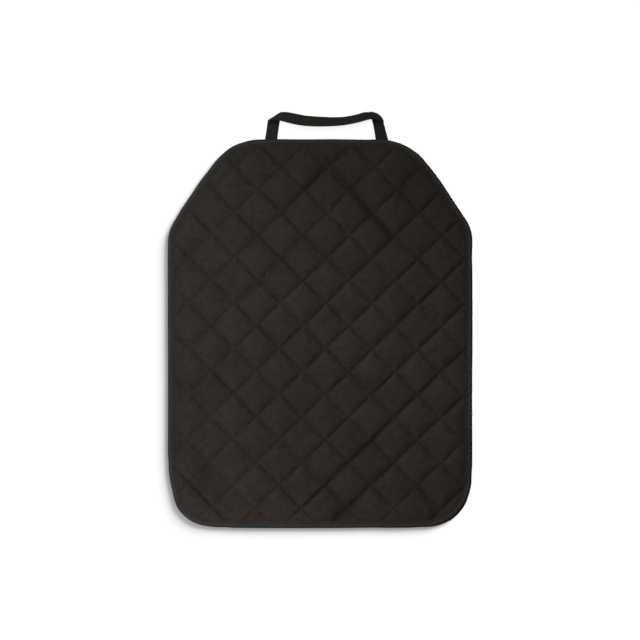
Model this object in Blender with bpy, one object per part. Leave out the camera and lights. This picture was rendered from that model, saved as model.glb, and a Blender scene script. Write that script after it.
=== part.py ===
# Quilted car seat protector: a mat of face cloth, wadding and backing cloth, quilted in diamonds, bound
# with a folded tape and hung by a strap. It lies on its back. Metres, +X to the right, +Y up the mat and
# +Z out of its face, with the origin on the surface that it lies on, at the middle of its length and width.
import math

import bmesh
import bpy
import numpy as np
from mathutils import Vector

# Outline of the bound mat. The corners are first given sharp, then rounded.
MAT_WIDTH = 0.460
MAT_HEIGHT = 0.588
TOP_WIDTH = 0.276  # between the sharp corners where the slanted sides reach the top edge
SHOULDER_HEIGHT = 0.452  # from the bottom edge to the sharp corners where the slanted sides begin
BOTTOM_RADIUS = 0.074
SHOULDER_RADIUS = 0.065
TOP_RADIUS = 0.108
CORNER_STEP = math.radians(8)  # the most that the outline turns from one of its edges to the next

# Thicknesses at the stitching, where the layers are pressed together.
FACE_CLOTH = 0.0004
WADDING_AT_STITCHING = 0.0006
BACKING_CLOTH = 0.0004
TAPE = 0.0005
STRAP = 0.0010
CLEARANCE = 0.0003  # between layers that touch

# Quilting. Each family of lines has an angle from +X and the distance of one line from the mat's centre.
QUILT_PITCH = 0.0489
QUILT_LINES = ((math.radians(44.2), -0.0221), (math.radians(-45.3), -0.0102))
FACE_PUFF = 0.0030  # height of a full diamond's crown over its stitching
CROWN_SHARE = 0.46  # the crown's size as a share of its diamond
SMALLEST_PUFFED = 0.3  # cut-off cells smaller than this share of a diamond, across, stay flat

# Edge binding: one tape folded over the edge.
BINDING_WIDTH = 0.011
BINDING_TO_QUILT = 0.001  # flat margin between the binding and the first puffed cloth
FOLD_STEPS = 4

# Hanging strap: one tape from the back of the top edge, up a leg, across, and down the other leg.
STRAP_WIDTH = 0.018
STRAP_SEWN = 0.0095  # length of each end that is sewn under the binding
LEFT_LEG_X = -0.0740  # where the middle of each leg crosses the top edge
RIGHT_LEG_X = 0.0937
LEFT_LEG_ANGLE = math.radians(83.1)
RIGHT_LEG_ANGLE = math.radians(101.7)
LEFT_LEG_LENGTH = 0.0338  # from the top edge up to the middle of the fold
RIGHT_LEG_LENGTH = 0.0333
LEFT_FOLD_ANGLE = math.radians(35.5)
RIGHT_FOLD_ANGLE = math.radians(147.3)
LEFT_FOLD_GAP = 0.0004  # between the two layers of a pressed crease
LEFT_FOLD_RADIUS = (STRAP + LEFT_FOLD_GAP) / 2
RIGHT_FOLD_RADIUS = 0.0025  # a soft roll
CROSSBAR_SAG = 0.0076
CROSSBAR_TILT = math.radians(36)  # how far the crossbar stands up off the surface, on its far edge
TWIST_SHARE = 0.15  # share of the crossbar over which it goes from flat at a fold to its full tilt
SKEW_START = 0.45  # share of a leg after which its rulings turn towards the fold
LEG_STATIONS = 7
ROLL_STATIONS = 8
CROSSBAR_STATIONS = 30

# Heights of the stack, from the surface up. The crowns of the back and the strap rest on the surface.
TAPE_LOW = STRAP + CLEARANCE
BACKING_LOW = TAPE_LOW + TAPE + CLEARANCE
BACKING_HIGH = BACKING_LOW + BACKING_CLOTH
WADDING_LOW = BACKING_HIGH + CLEARANCE
WADDING_HIGH = WADDING_LOW + WADDING_AT_STITCHING
FACE_LOW = WADDING_HIGH + CLEARANCE
FACE_HIGH = FACE_LOW + FACE_CLOTH
TAPE_HIGH = FACE_HIGH + CLEARANCE + TAPE
BACK_PUFF = BACKING_LOW
FOLD_RADIUS = (TAPE_HIGH - TAPE_LOW) / 2  # outer radius of the tape's fold
LAYER_INSET = FOLD_RADIUS + 0.0002  # the layers' cut edge, clear of the inside of the fold
QUILT_INSET = BINDING_WIDTH + BINDING_TO_QUILT


def smooth_step(value, start, end):
    """0 before start, 1 after end, and a smooth rise between them."""
    share = min(1.0, max(0.0, (value - start) / (end - start)))
    return share * share * (3 - 2 * share)


def direction(angle):
    return Vector((math.cos(angle), math.sin(angle)))


def outline(inset):
    """Points round the mat's outline moved inwards by inset, anticlockwise, with the mat's centre at 0, 0."""
    half_width, top = MAT_WIDTH / 2, MAT_HEIGHT / 2
    right = [
        (Vector((half_width, -top)), BOTTOM_RADIUS),
        (Vector((half_width, SHOULDER_HEIGHT - top)), SHOULDER_RADIUS),
        (Vector((TOP_WIDTH / 2, top)), TOP_RADIUS),
    ]
    corners = right + [(Vector((-corner.x, corner.y)), radius) for corner, radius in reversed(right)]
    points = []
    for index, (corner, radius) in enumerate(corners):
        before = (corner - corners[index - 1][0]).normalized()
        after = (corners[(index + 1) % len(corners)][0] - corner).normalized()
        turn = math.acos(before.dot(after))
        inwards = Vector((-before.y, before.x))
        centre = corner - before * radius * math.tan(turn / 2) + inwards * radius
        start = math.atan2(-inwards.y, -inwards.x)
        steps = math.ceil(turn / CORNER_STEP)
        for step in range(steps + 1):
            points.append(centre + (radius - inset) * direction(start + turn * step / steps))
    return points


def object_from(bm, name, material, parent):
    """One named object from a closed mesh, with its faces turned outwards."""
    bmesh.ops.recalc_face_normals(bm, faces=bm.faces)
    mesh = bpy.data.meshes.new(name)
    bm.to_mesh(mesh)
    bm.free()
    mesh.materials.append(material)
    made = bpy.data.objects.new(name, mesh)
    bpy.context.scene.collection.objects.link(made)
    made.parent = parent
    return made


def fabric(name, colour, roughness):
    material = bpy.data.materials.new(name)
    material.use_nodes = True
    shader = material.node_tree.nodes["Principled BSDF"]
    shader.inputs["Base Color"].default_value = (*colour, 1.0)
    shader.inputs["Roughness"].default_value = roughness
    shader.inputs["Metallic"].default_value = 0.0
    return material


def cut_along_quilting(bm, cell):
    """Cuts the faces marked as cells along every quilting line of both families."""
    reach = math.hypot(MAT_WIDTH, MAT_HEIGHT) / 2
    for angle, offset in QUILT_LINES:
        across = Vector((-math.sin(angle), math.cos(angle), 0))
        first = math.ceil((-reach - offset) / QUILT_PITCH)
        last = math.floor((reach - offset) / QUILT_PITCH)
        for number in range(first, last + 1):
            cells = [face for face in bm.faces if face[cell]]
            edges = {edge for face in cells for edge in face.edges}
            verts = {vert for face in cells for vert in face.verts}
            bmesh.ops.bisect_plane(
                bm,
                geom=[*cells, *edges, *verts],
                dist=CLEARANCE,
                plane_co=across * (offset + number * QUILT_PITCH),
                plane_no=across,
            )


def raise_crowns(bm, cell, puff):
    """Gives each cell a smaller face inside it, its crown. Cells cut off by the edge puff less."""
    for face in [face for face in bm.faces if face[cell]]:
        share = min(1.0, math.sqrt(face.calc_area()) / QUILT_PITCH)
        if share < SMALLEST_PUFFED:
            continue
        centre = face.calc_center_median_weighted()
        bmesh.ops.inset_individual(bm, faces=[face], thickness=0)
        for vert in face.verts:
            vert.co = centre + (vert.co - centre) * CROWN_SHARE
            vert[puff] = share


def quilted_sheet():
    """The flat pattern of the stitched layers: a band that lies in the binding, and a cell for each diamond.
    Its layer puff is 0 at the stitching and up to 1 on the crowns."""
    bm = bmesh.new()
    puff = bm.verts.layers.float.new("puff")
    cell = bm.faces.layers.int.new("cell")
    edge = [bm.verts.new((*point, 0)) for point in outline(LAYER_INSET)]
    seam = [bm.verts.new((*point, 0)) for point in outline(QUILT_INSET)]
    for index in range(len(edge)):
        bm.faces.new((edge[index - 1], edge[index], seam[index], seam[index - 1]))
    bm.faces.new(seam)[cell] = 1
    cut_along_quilting(bm, cell)
    raise_crowns(bm, cell, puff)
    return bm


def quilted_layer(name, low, low_puff, high, high_puff, material, parent):
    """One layer of the quilt. Low and high are its heights at the stitching; the puffs are added at the crowns."""
    bm = quilted_sheet()
    puff = bm.verts.layers.float["puff"]
    made = bmesh.ops.extrude_face_region(bm, geom=bm.faces[:])
    upper = {item for item in made["geom"] if isinstance(item, bmesh.types.BMVert)}
    for vert in bm.verts:
        height, rise = (high, high_puff) if vert in upper else (low, low_puff)
        vert.co.z = height + vert[puff] * rise
    return object_from(bm, name, material, parent)


def edge_binding(material, parent):
    """The tape's folded section, carried round the outline."""
    middle = (TAPE_HIGH + TAPE_LOW) / 2
    turns = [math.pi / 2 + math.pi * step / FOLD_STEPS for step in range(FOLD_STEPS + 1)]

    def fold(radius):
        return [(FOLD_RADIUS + radius * math.cos(turn), middle + radius * math.sin(turn)) for turn in turns]

    outside = [(BINDING_WIDTH, TAPE_HIGH), *fold(FOLD_RADIUS), (BINDING_WIDTH, TAPE_LOW)]
    inside = [(BINDING_WIDTH, TAPE_HIGH - TAPE), *fold(FOLD_RADIUS - TAPE), (BINDING_WIDTH, TAPE_LOW + TAPE)]
    section = outside + inside[::-1]
    bm = bmesh.new()
    loops = [[bm.verts.new((*point, height)) for point in outline(inset)] for inset, height in section]
    for number, loop in enumerate(loops):
        before = loops[number - 1]
        for index in range(len(loop)):
            bm.faces.new((before[index - 1], before[index], loop[index], loop[index - 1]))
    return object_from(bm, "edge_binding", material, parent)


def ruling(centre, height, heading, angle, tilt=0.0):
    """The two ends of a straight line across the strap, from the edge that is on the outside of both legs.
    The line runs at angle over the plane, and the strap runs at heading and leans by tilt."""
    skew = angle - heading
    side = 1 if math.sin(skew) > 0 else -1
    across = direction(heading + side * math.pi / 2) * math.cos(tilt)
    along = direction(heading) * abs(math.cos(skew) / math.sin(skew)) * (1 if math.cos(skew) > 0 else -1)
    half = Vector((*(across + along), -math.sin(tilt))) * STRAP_WIDTH / 2
    middle = Vector((*centre, height))
    return middle - half, middle + half


def point_on_top_edge(x):
    """The point of the mat's upper edge at x, the way the outline's corners round it."""
    upper = sorted((point.x, point.y) for point in outline(0) if point.y > 0)
    return Vector((x, np.interp(x, *zip(*upper))))


def leg_rulings(foot, leg_angle, leg_length, fold_angle, heading):
    """Rulings from the sewn end up to the fold. They turn from square across the leg to along the fold."""
    upwards = direction(leg_angle)
    square = heading - math.pi / 2
    fold_turn = (fold_angle - square + math.pi) % (2 * math.pi) - math.pi
    found = []
    for station in range(LEG_STATIONS + 1):
        share = station / LEG_STATIONS
        centre = foot + upwards * (share * leg_length - (1 - share) * STRAP_SEWN)
        turn = fold_turn * smooth_step(share, SKEW_START, 1)
        found.append(ruling(centre, STRAP / 2, heading, square + turn))
    return found


def roll_rulings(crease, outwards, radius):
    """Rulings round a fold, from the leg below to the crossbar above."""
    found = []
    for station in range(1, ROLL_STATIONS):
        turn = math.pi * station / ROLL_STATIONS
        shift = Vector((*(outwards * radius * math.sin(turn)), radius * (1 - math.cos(turn))))
        found.append((crease[0] + shift, crease[1] + shift))
    return found


def crossbar_rulings(start, end):
    """Rulings from the left fold to the right one. The bar leaves each fold as the leg's mirror image in the
    fold line, sags towards the mat, and stands up on its far edge in between."""
    left_heading = 2 * LEFT_FOLD_ANGLE - LEFT_LEG_ANGLE
    right_heading = 2 * RIGHT_FOLD_ANGLE - RIGHT_LEG_ANGLE - math.pi
    found = []
    for station in range(CROSSBAR_STATIONS + 1):
        share = station / CROSSBAR_STATIONS
        leaving = 1 - smooth_step(share, 0, TWIST_SHARE)
        arriving = smooth_step(share, 1 - TWIST_SHARE, 1)
        wave = 2 * math.pi * share
        centre = start.lerp(end, share) - Vector((0, CROSSBAR_SAG * (1 - math.cos(wave)) / 2))
        rise = end.y - start.y - CROSSBAR_SAG * math.pi * math.sin(wave)
        heading = math.atan(rise / (end.x - start.x))
        heading += (left_heading - heading) * leaving + (right_heading - heading) * arriving
        angle = heading + math.pi / 2
        angle += (LEFT_FOLD_ANGLE - angle) * leaving + (RIGHT_FOLD_ANGLE - angle) * arriving
        tilt = CROSSBAR_TILT * (1 - leaving) * (1 - arriving)
        lift = 2 * LEFT_FOLD_RADIUS * leaving + 2 * RIGHT_FOLD_RADIUS * arriving
        height = STRAP / 2 + lift + STRAP_WIDTH / 2 * math.sin(tilt)
        found.append(ruling(centre, height, heading, angle, tilt))
    return found


def strap_rulings():
    """All rulings of the strap, from its left sewn end to its right one, down the middle of its thickness."""
    left_foot = point_on_top_edge(LEFT_LEG_X)
    right_foot = point_on_top_edge(RIGHT_LEG_X)
    left_fold = left_foot + direction(LEFT_LEG_ANGLE) * LEFT_LEG_LENGTH
    right_fold = right_foot + direction(RIGHT_LEG_ANGLE) * RIGHT_LEG_LENGTH
    left = leg_rulings(left_foot, LEFT_LEG_ANGLE, LEFT_LEG_LENGTH, LEFT_FOLD_ANGLE, LEFT_LEG_ANGLE)
    right_heading = RIGHT_LEG_ANGLE - math.pi
    right = leg_rulings(right_foot, RIGHT_LEG_ANGLE, RIGHT_LEG_LENGTH, RIGHT_FOLD_ANGLE, right_heading)
    left_roll = roll_rulings(left[-1], direction(LEFT_FOLD_ANGLE + math.pi / 2), LEFT_FOLD_RADIUS)
    right_roll = roll_rulings(right[-1], direction(RIGHT_FOLD_ANGLE - math.pi / 2), RIGHT_FOLD_RADIUS)
    return left + left_roll + crossbar_rulings(left_fold, right_fold) + right_roll[::-1] + right[::-1]


def hanging_strap(rulings, material, parent):
    """The strap as one solid: each ruling gives a section of the strap's width and thickness."""
    bm = bmesh.new()
    sections = []
    for index, ends in enumerate(rulings):
        before, after = rulings[max(index - 1, 0)], rulings[min(index + 1, len(rulings) - 1)]
        across = ends[1] - ends[0]
        lift = [across.cross(after[side] - before[side]).normalized() * STRAP / 2 for side in (0, 1)]
        corners = (ends[0] + lift[0], ends[1] + lift[1], ends[1] - lift[1], ends[0] - lift[0])
        sections.append([bm.verts.new(corner) for corner in corners])
    for before, section in zip(sections, sections[1:]):
        for side in range(4):
            bm.faces.new((before[side - 1], before[side], section[side], section[side - 1]))
    bm.faces.new(sections[0])
    bm.faces.new(sections[-1])
    return object_from(bm, "hanging_strap", material, parent)


def build():
    for old in list(bpy.data.objects):
        bpy.data.objects.remove(old, do_unlink=True)
    face_fabric = fabric("black_woven_polyester", (0.024, 0.020, 0.017), 0.75)
    back_fabric = fabric("black_felted_backing", (0.020, 0.019, 0.018), 0.95)
    fibre = fabric("white_polyester_wadding", (0.80, 0.80, 0.78), 1.0)
    tape = fabric("black_ribbed_tape", (0.019, 0.019, 0.017), 0.65)
    webbing = fabric("black_webbing", (0.016, 0.016, 0.014), 0.70)

    rulings = strap_rulings()
    strap_reach = max(end.y for ends in rulings for end in ends) - MAT_HEIGHT / 2
    mat = bpy.data.objects.new("mat_centre", None)
    mat.location = (0, -strap_reach / 2, 0)
    bpy.context.scene.collection.objects.link(mat)

    quilted_layer("face_cloth", FACE_LOW, FACE_PUFF, FACE_HIGH, FACE_PUFF, face_fabric, mat)
    quilted_layer("wadding", WADDING_LOW, -BACK_PUFF, WADDING_HIGH, FACE_PUFF, fibre, mat)
    quilted_layer("backing_cloth", BACKING_LOW, -BACK_PUFF, BACKING_HIGH, -BACK_PUFF, back_fabric, mat)
    edge_binding(tape, mat)
    hanging_strap(rulings, webbing, mat)


build()
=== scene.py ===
import bmesh
import bpy
import numpy as np
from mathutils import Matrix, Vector


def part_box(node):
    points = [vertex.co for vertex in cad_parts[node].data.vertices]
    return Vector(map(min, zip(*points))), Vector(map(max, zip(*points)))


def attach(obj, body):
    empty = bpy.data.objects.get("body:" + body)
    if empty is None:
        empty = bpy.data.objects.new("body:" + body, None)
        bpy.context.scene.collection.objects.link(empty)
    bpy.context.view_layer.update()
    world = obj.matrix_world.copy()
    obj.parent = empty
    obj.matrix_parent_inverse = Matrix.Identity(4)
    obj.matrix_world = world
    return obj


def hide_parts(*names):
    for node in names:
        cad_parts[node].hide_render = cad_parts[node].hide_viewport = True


print("loading the frame")
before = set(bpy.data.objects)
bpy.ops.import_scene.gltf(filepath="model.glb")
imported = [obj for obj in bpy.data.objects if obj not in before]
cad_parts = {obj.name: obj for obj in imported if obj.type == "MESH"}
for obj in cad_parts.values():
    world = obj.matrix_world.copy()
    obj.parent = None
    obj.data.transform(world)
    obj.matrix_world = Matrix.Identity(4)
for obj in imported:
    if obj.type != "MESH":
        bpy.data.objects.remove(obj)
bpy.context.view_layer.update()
bindingLow, bindingHigh = (np.array(corner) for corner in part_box("edge_binding"))
matSize = (bindingHigh - bindingLow)[:2]
matCentre = (bindingLow + bindingHigh)[:2] / 2
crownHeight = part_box("face_cloth")[1][2]


def unit(vectors):
    return vectors / np.linalg.norm(vectors, axis=-1, keepdims=True)


def smooth(x, low, high):  # 0 up to low, 1 from high on, and 3t^2 - 2t^3 between them
    t = np.clip((x - low) / (high - low), 0, 1)
    return t * t * (3 - 2 * t)


def bell(distance, width):  # 1 at no distance, exp(-1) at the width, and soon 0 beyond it
    return np.exp(-((distance / width) ** 2))


def ripple(points, length, seed, waves=14):
    # Uneven waves, about -1 to 1: the sum of sines with random headings and phases, and with lengths near the
    # one given.
    random = np.random.default_rng(seed)
    heading, phase = random.uniform(0, 2 * np.pi, (2, waves))
    number = 2 * np.pi / (length * random.uniform(0.6, 1.7, waves))
    across = points[..., :1] * np.cos(heading) + points[..., 1:2] * np.sin(heading)
    return np.sin(across * number + phase).sum(-1) / np.sqrt(waves)


def throughPoints(knots, t):
    # A smooth curve through the knots, at t from 0 to 1: each stretch is a cubic whose end slopes are half
    # the step between the knots on both sides.
    knots = np.asarray(knots, float)
    slopes = np.gradient(knots, axis=0)
    place = np.clip(t, 0, 1) * (len(knots) - 1)
    index = np.minimum(place.astype(int), len(knots) - 2)
    f = (place - index)[:, None]
    a, b, m, n = knots[index], knots[index + 1], slopes[index], slopes[index + 1]
    bend = f * (1 - f)
    return a + (b - a) * f * f * (3 - 2 * f) + bend * ((1 - f) * m - f * n)


madePieces = []


def makePiece(name, points, faces, material, uv=None, crease=None):
    mesh = bpy.data.meshes.new(name)
    mesh.from_pydata(np.asarray(points).reshape(-1, 3).tolist(), [], faces)
    mesh.shade_smooth()
    if crease is not None:  # how much painted shade each point has; below 0 it is a painted highlight
        values = np.asarray(crease, np.float32).ravel()
        mesh.attributes.new("crease", "FLOAT", "POINT").data.foreach_set("value", values)
    if uv is not None:
        mesh.uv_layers.new(name="clothUv").data.foreach_set("uv", np.asarray(uv, np.float32).ravel())
    solid = bmesh.new()
    solid.from_mesh(mesh)
    if solid.calc_volume(signed=True) < 0:
        mesh.flip_normals()
    solid.free()
    mesh.materials.append(material)
    piece = bpy.data.objects.new(name, mesh)
    bpy.context.scene.collection.objects.link(piece)
    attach(piece, "root")
    madePieces.append(name)
    print(f"  {name}: {sum(len(face) - 2 for face in faces)} triangles")
    return piece


def tubeFaces(rings, sides, closed):
    # Quads of a tube whose point (i, j) is number i * sides + j. An open tube gets a cap at each end.
    i, j = np.meshgrid(np.arange(rings if closed else rings - 1), np.arange(sides), indexing="ij")
    ring, following, beside = i * sides, (i + 1) % rings * sides, (j + 1) % sides
    quads = np.stack([ring + j, following + j, following + beside, ring + beside], -1)
    faces = quads.reshape(-1, 4).tolist()
    if not closed:
        faces += [list(range(sides)), list(range(rings * sides - 1, (rings - 1) * sides - 1, -1))]
    return faces


def tubeUv(along, around, closed):
    # The two lengths in metres at each corner of tubeFaces' quads, and of its caps.
    rings = len(along) - (1 if closed else 0)
    i, j = np.meshgrid(np.arange(len(along) - 1), np.arange(len(around) - 1), indexing="ij")
    corners = [(i, j), (i + 1, j), (i + 1, j + 1), (i, j + 1)]
    uv = np.stack([np.stack([along[a], around[b]], -1) for a, b in corners], -2).reshape(-1, 2)
    if not closed:
        cap = np.stack([np.full(len(around) - 1, along[0]), around[:-1]], -1)
        far = np.stack([np.full(len(around) - 1, along[rings - 1]), around[:-1]], -1)
        uv = np.vstack([uv, cap, far[::-1]])
    return uv


def surfaceNormals(points, quads):
    # Each point's normal is the sum of the cross products of the diagonals of the quads round it.
    cross = np.cross(points[quads[:, 2]] - points[quads[:, 0]], points[quads[:, 3]] - points[quads[:, 1]])
    normals = np.zeros_like(points)
    for corner in range(4):
        np.add.at(normals, quads[:, corner], cross)
    return unit(normals)


def openEdges(quads, count):  # both ends of the edges that have a quad on one side only
    start, end = quads.ravel(), np.roll(quads, -1, axis=1).ravel()
    single = ~np.isin(start * count + end, end * count + start)
    return start[single], end[single]


def closedSheet(upper, lower, quads):
    # The upper side, the lower side, and a strip that joins them round the cut edge.
    count = len(upper)
    a, b = openEdges(quads, count)
    strip = np.stack([b, a, a + count, b + count], -1)
    return np.vstack([upper, lower]), np.vstack([quads, quads[:, ::-1] + count, strip]).tolist()


def stitches(centres, along, up, length, radius, sink):
    # One bead of thread at each centre: three rings, the end ones half as thick and lower by sink, so that
    # they go into the cloth. A ring's points are across * r cos a + up * r sin a.
    sides = 6
    angle = 2 * np.pi * np.arange(sides) / sides
    place, share = np.array([-1, 0, 1.0]), np.array([0.5, 1, 0.5])
    bead = np.stack(
        [
            np.repeat(place * length / 2, sides),
            (share[:, None] * radius * np.cos(angle)).ravel(),
            (share[:, None] * radius * np.sin(angle) - sink * place[:, None] ** 2).ravel(),
        ],
        -1,
    )
    across = unit(np.cross(up, along))
    axes = np.stack([along, across, up], 1)
    points = centres[:, None] + bead @ axes
    j = np.arange(sides)
    k = (j + 1) % sides
    band = np.stack([j, k, k + sides, j + sides], -1)
    quads = np.vstack([band, band + sides])
    step = np.arange(len(centres)) * len(bead)
    faces = (step[:, None, None] + quads).reshape(-1, 4).tolist()
    faces += (step[:, None] + j[::-1]).tolist() + (step[:, None] + 2 * sides + j).tolist()
    return points.reshape(-1, 3), faces


print("making materials")


def addNode(tree, kind, inputs=None, **settings):
    made = tree.nodes.new("ShaderNode" + kind)
    for key, value in settings.items():
        setattr(made, key, value)
    for socket, value in (inputs or {}).items():
        if isinstance(value, bpy.types.NodeSocket):
            tree.links.new(value, made.inputs[socket])
        else:
            made.inputs[socket].default_value = value
    return made


def calculate(tree, operation, *values):
    return addNode(tree, "Math", dict(enumerate(values)), operation=operation).outputs[0]


def newGroup(name, inputs, outputs):
    group = bpy.data.node_groups.new(name, "ShaderNodeTree")
    for label, value in inputs.items():
        kind = "NodeSocketVector" if value is None else "NodeSocketFloat"
        socket = group.interface.new_socket(label, in_out="INPUT", socket_type=kind)
        if value is not None:
            socket.default_value = value
    for label in outputs:
        group.interface.new_socket(label, in_out="OUTPUT", socket_type="NodeSocketFloat")
    return group, group.nodes.new("NodeGroupInput").outputs, group.nodes.new("NodeGroupOutput").inputs


def addNoise(tree, vector, scale, detail, **inputs):
    return addNode(tree, "TexNoise", {"Vector": vector, "Scale": scale, "Detail": detail} | inputs).outputs


def spread(tree, value, low, high, least=0, most=1):  # least at low and most at high
    ends = {"From Min": low, "From Max": high, "To Min": least, "To Max": most}
    return addNode(tree, "MapRange", {"Value": value} | ends).outputs[0]


def mixed(tree, factor, first, second, clamped=True):
    # From the first colour to the second. Either may be a socket.
    mix = addNode(tree, "Mix", {"Factor": factor}, data_type="RGBA", clamp_factor=clamped)
    for number, colour in ((6, first), (7, second)):
        if isinstance(colour, bpy.types.NodeSocket):
            tree.links.new(colour, mix.inputs[number])
        else:
            mix.inputs[number].default_value = (*colour, 1)
    return mix.outputs[2]


yarns = {"wander": 0.0007, "wanderScale": 260, "thicknessScale": (60, 900, 60)}
lint = {"scale": 130, "edge": 0.10, "heart": 0.04, "rare": 0.93, "colour": (0.12, 0.115, 0.11)}
fibres = {"turns": (0.6, 2.1), "drawn": 0.25, "curl": 0.6}  # drawn out in two ways, in radians
wearRange = (0.3, 0.7)  # the part of a noise that the patches of wear use
# The pattern of the painted shade in the small folds of a sewn tape
gatherShape = {
    "bendScale": 90,
    "bend": 1.6,
    "patchScale": 22,
    "wave": (0.1, 0.9),  # from where to where the sine counts
    "patch": (0.42, 0.62),  # from where to where the slower noise counts, and what is left below it
    "least": 0.25,
}


def makeWeave():
    # Plain weave in a plane: the height is the product of a sine along and a sine across, which makes the
    # threads go over and under by turns. The yarns waver, and each is a little thicker or thinner.
    sockets = {"Vector": None, "Warp": 0.0005, "Weft": 0.0005}
    group, given, result = newGroup("plainWeave", sockets, ["Height", "Yarn"])
    bent = addNoise(group, given["Vector"], yarns["wanderScale"], 1)["Color"]
    centred = addNode(group, "VectorMath", {0: bent, 1: (0.5, 0.5, 0.5)}, operation="SUBTRACT")
    shift = addNode(group, "VectorMath", {0: centred.outputs[0], "Scale": yarns["wander"]}, operation="SCALE")
    place = addNode(group, "VectorMath", {0: given["Vector"], 1: shift.outputs[0]}, operation="ADD")
    axes = addNode(group, "SeparateXYZ", {0: place.outputs[0]}).outputs
    waves = []
    for axis, pitch in ((axes["X"], given["Warp"]), (axes["Y"], given["Weft"])):
        turns = calculate(group, "DIVIDE", axis, pitch)
        waves.append(calculate(group, "SINE", calculate(group, "MULTIPLY", turns, float(np.pi))))
    crossing = calculate(group, "MULTIPLY", *waves)
    group.links.new(calculate(group, "MULTIPLY_ADD", crossing, 0.5, 0.5), result["Height"])
    stretched = addNode(group, "Mapping", {"Vector": given["Vector"], "Scale": yarns["thicknessScale"]})
    group.links.new(addNoise(group, stretched.outputs[0], 1, 2)["Fac"], result["Yarn"])
    return group


def makeWear():
    # Patches of slightly faded cloth at two sizes, patches of a warmer and a cooler dye, and sparse lint.
    sockets = {"Vector": None, "Patch": 0.06, "Mottle": 0.004}
    group, given, result = newGroup("clothWear", sockets, ["Fade", "Mottle", "Tint", "Lint"])
    patch, mottle = (
        addNoise(group, given["Vector"], calculate(group, "DIVIDE", 1, given[label]), detail)
        for label, detail in (("Patch", 2), ("Mottle", 3))
    )
    dye = addNode(group, "SeparateColor", {0: patch["Color"]}).outputs["Green"]
    for label, value in (("Fade", patch["Fac"]), ("Mottle", mottle["Fac"]), ("Tint", dye)):
        group.links.new(spread(group, value, *wearRange), result[label])
    specks = addNode(group, "TexVoronoi", {"Vector": given["Vector"], "Scale": lint["scale"]}).outputs
    near = spread(group, specks["Distance"], lint["edge"], lint["heart"])
    chance = addNode(group, "SeparateColor", {0: specks["Color"]}).outputs[0]
    rare = calculate(group, "GREATER_THAN", chance, lint["rare"])
    group.links.new(calculate(group, "MULTIPLY", near, rare), result["Lint"])
    return group


def makeFibres():
    # Matted fibres with no weave: fine noise drawn out two ways, the higher of the two at each place.
    group, given, result = newGroup("mattedFibres", {"Vector": None, "Fibre": 0.0006}, ["Height"])
    scale = calculate(group, "DIVIDE", 1, given["Fibre"])
    heights = []
    for turn in fibres["turns"]:
        drawn = {"Vector": given["Vector"], "Rotation": (0, 0, turn), "Scale": (1, fibres["drawn"], 1)}
        turned = addNode(group, "Mapping", drawn).outputs[0]
        heights.append(addNoise(group, turned, scale, 3, Distortion=fibres["curl"])["Fac"])
    group.links.new(calculate(group, "MAXIMUM", *heights), result["Height"])
    return group


def makeGathers():
    # Where the painted shade of short folds across a sewn tape falls: a sine of the length along it, bent
    # by a noise, kept where a slower noise is high and the sine is over its middle.
    group, given, result = newGroup("gatherShadePattern", {"Vector": None, "Pitch": 0.004}, ["Fold"])
    bend = addNoise(group, given["Vector"], gatherShape["bendScale"], 1)["Fac"]
    patches = addNoise(group, given["Vector"], gatherShape["patchScale"], 1)["Fac"]
    length = addNode(group, "SeparateXYZ", {0: given["Vector"]}).outputs["X"]
    along = calculate(group, "DIVIDE", length, given["Pitch"])
    turns = calculate(group, "MULTIPLY_ADD", bend, gatherShape["bend"], along)
    wave = calculate(group, "SINE", calculate(group, "MULTIPLY", turns, float(2 * np.pi)))
    fold = spread(group, wave, *gatherShape["wave"])
    here = spread(group, patches, *gatherShape["patch"], gatherShape["least"])
    group.links.new(calculate(group, "MULTIPLY", fold, here), result["Fold"])
    return group


weaveGroup, wearGroup, fibreGroup, gatherGroup = makeWeave(), makeWear(), makeFibres(), makeGathers()


def addGroup(tree, group, vector, **inputs):
    placed = addNode(tree, "Group", node_tree=group)
    tree.links.new(vector, placed.inputs["Vector"])
    for label, value in inputs.items():
        placed.inputs[label].default_value = value
    return placed.outputs


def varied(tree, value, amount, base):  # base plus the amount of value - 0.5
    return calculate(tree, "MULTIPLY_ADD", calculate(tree, "SUBTRACT", value, 0.5), amount, base)


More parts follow.
